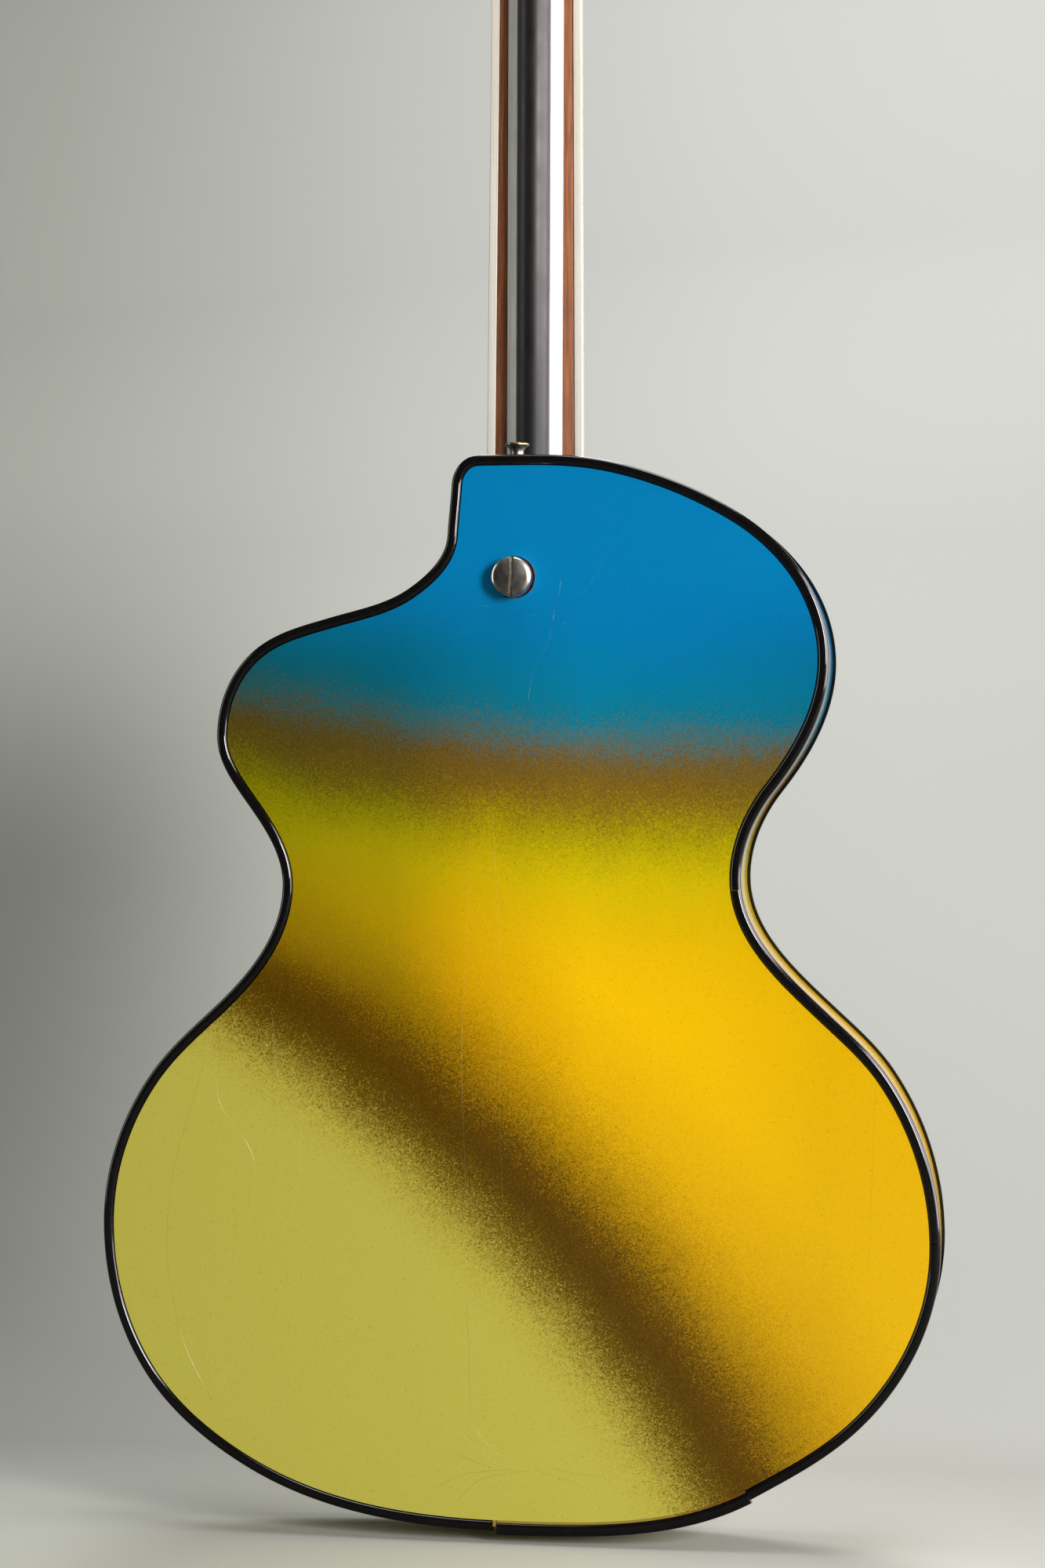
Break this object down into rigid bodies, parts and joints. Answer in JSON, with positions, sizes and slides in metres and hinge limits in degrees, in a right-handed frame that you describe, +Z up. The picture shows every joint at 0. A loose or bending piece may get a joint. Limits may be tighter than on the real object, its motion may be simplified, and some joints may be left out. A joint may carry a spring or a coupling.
{
  "type": "semi-hollow electric guitar",
  "caption": "Semi-hollow electric guitar with a single cutaway, black edge strips, a sprayed multicolour body and a tilting aluminium neck under a bound rosewood fingerboard.",
  "frame": {"origin": "nut line on the centreline, in the plane of the fingerboard's underside", "axes": "+Z up the neck towards the headstock, +Y out of the back, +X towards the treble side with the cutaway"},
  "size_m": [0.4042, 0.0844, 1.0462],
  "materials": {
    "lacquered_body": "sprayed gloss lacquer: blue, gold-brown, yellow and pale yellow-green fields",
    "bare_maple": "bare sawn maple",
    "black_edge_plastic": "polished black edge strip",
    "neck_cover_plastic": "satin black",
    "neck_aluminium": "drawn, lightly brushed",
    "rosewood": "open-grained, oiled",
    "ivory_plastic": "aged ivory plastic",
    "headstock_lacquer": "black gloss lacquer",
    "nickel_plate": "worn nickel plate",
    "tuner_button_plastic": "ivory plastic",
    "knob_plastic": "black moulded",
    "steel": "zinc-plated",
    "string_steel": "plain and wound string wire",
    "aged_brass": "aged, with worn plating",
    "end_pin_copper": "dull copper brown"
  },
  "bodies": {
    "body": {"back_plate": "lacquered_body", "front_plate": "lacquered_body", "rim": "lacquered_body", "centre_block": "bare_maple", "back_strip_main": "black_edge_plastic", "back_strip_waist": "black_edge_plastic", "back_strip_bout": "black_edge_plastic", "back_strip_tail": "black_edge_plastic", "front_strip": "black_edge_plastic", "bridge_base": "rosewood", "tailpiece": "nickel_plate", "tailpiece_stud_bass": "nickel_plate", "tailpiece_stud_treble": "nickel_plate", "pickup_ring_neck": "ivory_plastic", "pickup_neck": "nickel_plate", "pickup_ring_bridge": "ivory_plastic", "pickup_bridge": "nickel_plate", "volume_pot": "steel", "tone_pot": "steel", "selector_body": "steel", "jack_socket": "nickel_plate", "tilt_bush": "aged_brass", "pivot_pin": "steel", "heel_strap_button": "aged_brass", "end_pin": "end_pin_copper", "string_1": "string_steel", "string_2": "string_steel", "string_3": "string_steel", "string_4": "string_steel", "string_5": "string_steel", "string_6": "string_steel"},
    "neck": {"neck_channel": "neck_aluminium", "neck_back_cover": "neck_cover_plastic", "fingerboard": "rosewood", "binding_bass": "ivory_plastic", "binding_treble": "ivory_plastic", "nut": "ivory_plastic", "headstock": "headstock_lacquer", "headstock_veneer": "ivory_plastic", "tuner_plate_bass": "nickel_plate", "tuner_plate_treble": "nickel_plate"},
    "tilt_screw": {"tilt_screw": "nickel_plate"},
    "saddle": {"bridge_saddle": "nickel_plate"},
    "wheel_bass": {"thumbwheel_bass": "nickel_plate"},
    "wheel_treble": {"thumbwheel_treble": "nickel_plate"},
    "volume_knob": {"volume_knob": "knob_plastic"},
    "tone_knob": {"tone_knob": "knob_plastic"},
    "selector_lever": {"selector_lever": "ivory_plastic"},
    "button_1": {"tuner_button_1": "tuner_button_plastic"},
    "post_1": {"string_post_1": "nickel_plate"},
    "button_2": {"tuner_button_2": "tuner_button_plastic"},
    "post_2": {"string_post_2": "nickel_plate"},
    "button_3": {"tuner_button_3": "tuner_button_plastic"},
    "post_3": {"string_post_3": "nickel_plate"},
    "button_4": {"tuner_button_4": "tuner_button_plastic"},
    "post_4": {"string_post_4": "nickel_plate"},
    "button_5": {"tuner_button_5": "tuner_button_plastic"},
    "post_5": {"string_post_5": "nickel_plate"},
    "button_6": {"tuner_button_6": "tuner_button_plastic"},
    "post_6": {"string_post_6": "nickel_plate"}
  },
  "joints": [
    {"name": "neck_tilt", "type": "hinge", "parent": "body", "child": "neck", "pos_m": [0, 0.024, -0.37491], "axis": [1, 0, 0], "range_deg": [-0.4651, 0.4651], "deforming": ["string_1", "string_2", "string_3", "string_4", "string_5", "string_6"]},
    {"name": "tilt_screw_turn", "type": "hinge", "parent": "body", "child": "tilt_screw", "pos_m": [0, 0.064, -0.41341], "axis": [0, 1, 0], "range_deg": [-90.5, 90.5]},
    {"name": "bridge_height", "type": "slide", "parent": "body", "child": "saddle", "axis": [0, -1, 0], "range_m": [-0.0008, 0.0008]},
    {"name": "thumbwheel_bass_turn", "type": "hinge", "parent": "saddle", "child": "wheel_bass", "pos_m": [-0.038, -0.001, -0.64], "axis": [0, -1, 0], "range_deg": [-361, 361]},
    {"name": "thumbwheel_treble_turn", "type": "hinge", "parent": "saddle", "child": "wheel_treble", "pos_m": [0.038, -0.001, -0.64], "axis": [0, -1, 0], "range_deg": [-361, 361]},
    {"name": "volume_knob_turn", "type": "hinge", "parent": "body", "child": "volume_knob", "pos_m": [0.122, 0, -0.69291], "axis": [0, -1, 0], "range_deg": [-140, 140]},
    {"name": "tone_knob_turn", "type": "hinge", "parent": "body", "child": "tone_knob", "pos_m": [0.138, 0, -0.74291], "axis": [0, -1, 0], "range_deg": [-140, 140]},
    {"name": "selector_toggle", "type": "hinge", "parent": "body", "child": "selector_lever", "pos_m": [-0.088, 0.012, -0.44691], "axis": [1, 0, 0], "range_deg": [-12, 12]},
    {"name": "button_1_turn", "type": "hinge", "parent": "neck", "child": "button_1", "pos_m": [0.02, 0.02679, 0.05164], "axis": [1, 0, 0], "continuous": true},
    {"name": "post_1_turn", "type": "hinge", "parent": "neck", "child": "post_1", "pos_m": [0.02, 0.00814, 0.04689], "axis": [0, 0.9903, -0.1392], "continuous": true},
    {"name": "button_2_turn", "type": "hinge", "parent": "neck", "child": "button_2", "pos_m": [0.02, 0.03249, 0.09224], "axis": [1, 0, 0], "continuous": true},
    {"name": "post_2_turn", "type": "hinge", "parent": "neck", "child": "post_2", "pos_m": [0.02, 0.01385, 0.08749], "axis": [0, 0.9903, -0.1392], "continuous": true},
    {"name": "button_3_turn", "type": "hinge", "parent": "neck", "child": "button_3", "pos_m": [0.02, 0.0382, 0.13284], "axis": [1, 0, 0], "continuous": true},
    {"name": "post_3_turn", "type": "hinge", "parent": "neck", "child": "post_3", "pos_m": [0.02, 0.01956, 0.12809], "axis": [0, 0.9903, -0.1392], "continuous": true},
    {"name": "button_4_turn", "type": "hinge", "parent": "neck", "child": "button_4", "pos_m": [-0.02, 0.0382, 0.13284], "axis": [1, 0, 0], "continuous": true},
    {"name": "post_4_turn", "type": "hinge", "parent": "neck", "child": "post_4", "pos_m": [-0.02, 0.01956, 0.12809], "axis": [0, 0.9903, -0.1392], "continuous": true},
    {"name": "button_5_turn", "type": "hinge", "parent": "neck", "child": "button_5", "pos_m": [-0.02, 0.03249, 0.09224], "axis": [1, 0, 0], "continuous": true},
    {"name": "post_5_turn", "type": "hinge", "parent": "neck", "child": "post_5", "pos_m": [-0.02, 0.01385, 0.08749], "axis": [0, 0.9903, -0.1392], "continuous": true},
    {"name": "button_6_turn", "type": "hinge", "parent": "neck", "child": "button_6", "pos_m": [-0.02, 0.02679, 0.05164], "axis": [1, 0, 0], "continuous": true},
    {"name": "post_6_turn", "type": "hinge", "parent": "neck", "child": "post_6", "pos_m": [-0.02, 0.00814, 0.04689], "axis": [0, 0.9903, -0.1392], "continuous": true}
  ],
  "couplings": [
    {"joint": "tilt_screw_turn", "follows": "neck_tilt", "ratio": 193.52},
    {"joint": "thumbwheel_bass_turn", "follows": "bridge_height", "rad_per_m": 7854},
    {"joint": "thumbwheel_treble_turn", "follows": "bridge_height", "rad_per_m": 7854},
    {"joint": "post_1_turn", "follows": "button_1_turn", "ratio": -0.071429},
    {"joint": "post_2_turn", "follows": "button_2_turn", "ratio": -0.071429},
    {"joint": "post_3_turn", "follows": "button_3_turn", "ratio": -0.071429},
    {"joint": "post_4_turn", "follows": "button_4_turn", "ratio": -0.071429},
    {"joint": "post_5_turn", "follows": "button_5_turn", "ratio": -0.071429},
    {"joint": "post_6_turn", "follows": "button_6_turn", "ratio": -0.071429}
  ]
}
